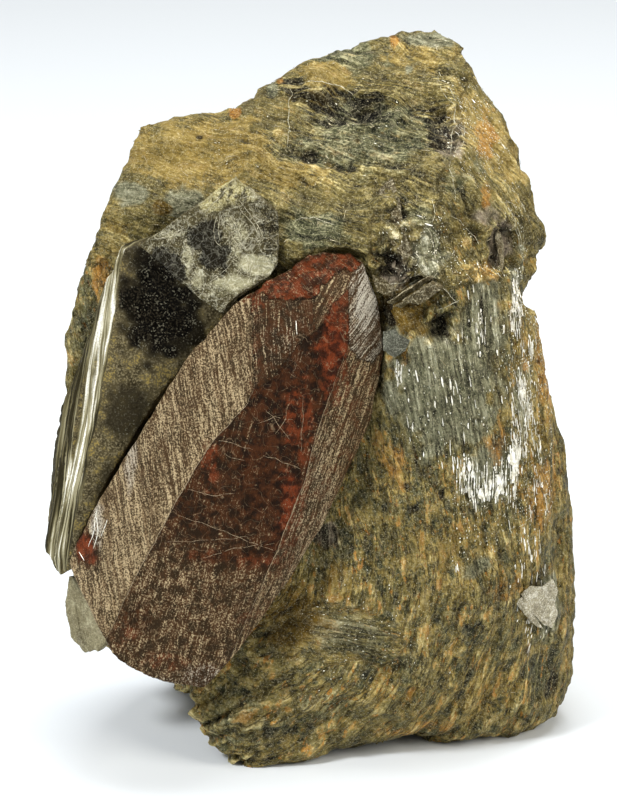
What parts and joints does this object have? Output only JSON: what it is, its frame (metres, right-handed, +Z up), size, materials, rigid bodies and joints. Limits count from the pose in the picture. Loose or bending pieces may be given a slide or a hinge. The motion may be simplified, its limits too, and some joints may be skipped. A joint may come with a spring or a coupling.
{
  "type": "biotite mica specimen",
  "caption": "Free-standing mineral specimen: a mass of intergrown brown mica with a tapered red-brown biotite crystal and clear and dark mica on its front.",
  "frame": {"origin": "middle of the specimen's footprint, on the surface that it stands on", "axes": "+Z up through the crown, -Y towards the front with the red crystal, +X to the right seen from the front"},
  "size_m": [0.0718, 0.0462, 0.0933],
  "materials": {
    "matrix_mica": "layered brown and olive mica, satin with fine glints, stained orange in places",
    "red_biotite": "red-brown biotite with finely lined, satin crystal faces",
    "dark_biotite": "near-black biotite cleavage with bright, silvery sheet edges",
    "clear_mica": "clear to milky mica, glossy, with hair-fine steps",
    "corner_mica": "khaki, slightly translucent mica plate",
    "pocket_mica": "silvery mica sheet with an amber cast"
  },
  "bodies": {
    "root": {"mica_matrix": "matrix_mica", "red_biotite_crystal": "red_biotite", "dark_mica_book": "dark_biotite", "clear_mica_plate": "clear_mica", "corner_mica_plate": "corner_mica", "pocket_mica_sheet": "pocket_mica"}
  },
  "joints": []
}
